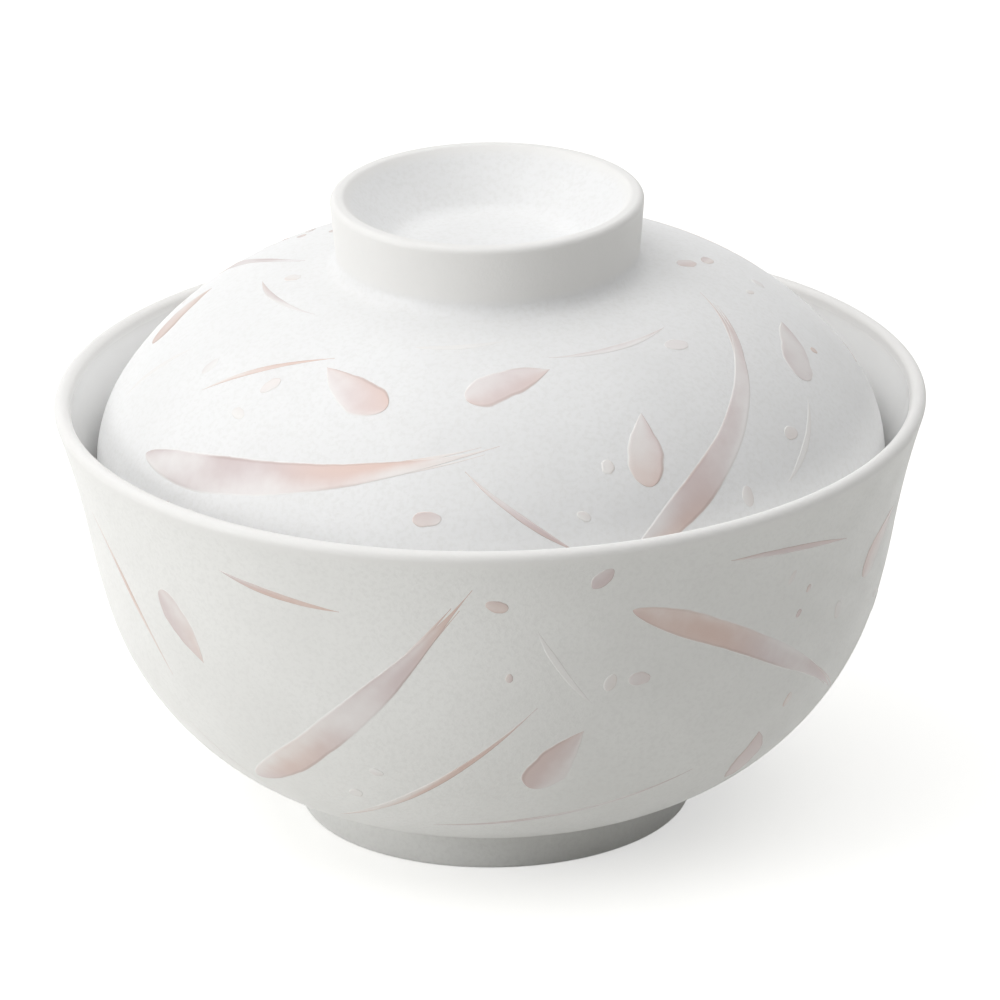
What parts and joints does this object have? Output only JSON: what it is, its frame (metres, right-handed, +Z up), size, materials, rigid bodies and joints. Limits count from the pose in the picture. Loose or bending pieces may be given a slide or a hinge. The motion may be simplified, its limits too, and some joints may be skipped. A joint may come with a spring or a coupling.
{
  "type": "lidded soup bowl",
  "caption": "Porcelain soup bowl on a ring foot, with a flared round lip and a domed lid that drops inside the rim, rests on the wall's sloping inside and lifts off by its ring knob.",
  "frame": {"origin": "centre of the ring on which the foot stands, at table height", "axes": "+Z up, along the axis of the bowl and its lid; the shape is the same all round, so +X and +Y are free"},
  "size_m": [0.124, 0.124, 0.0917],
  "materials": {
    "bowl_porcelain": "satin matt white glaze with a fine grain",
    "lid_porcelain": "satin matt white glaze with a fine grain",
    "rose_lustre": "thin pearly rose lustre, fired on in slightly raised brush marks"
  },
  "bodies": {
    "bowl": {"bowl": "bowl_porcelain"},
    "lid": {"lid": "lid_porcelain"}
  },
  "joints": [
    {"name": "lid_lift", "type": "slide", "parent": "bowl", "child": "lid", "axis": [0, 0, 1], "range_m": [0, 0.08]}
  ]
}
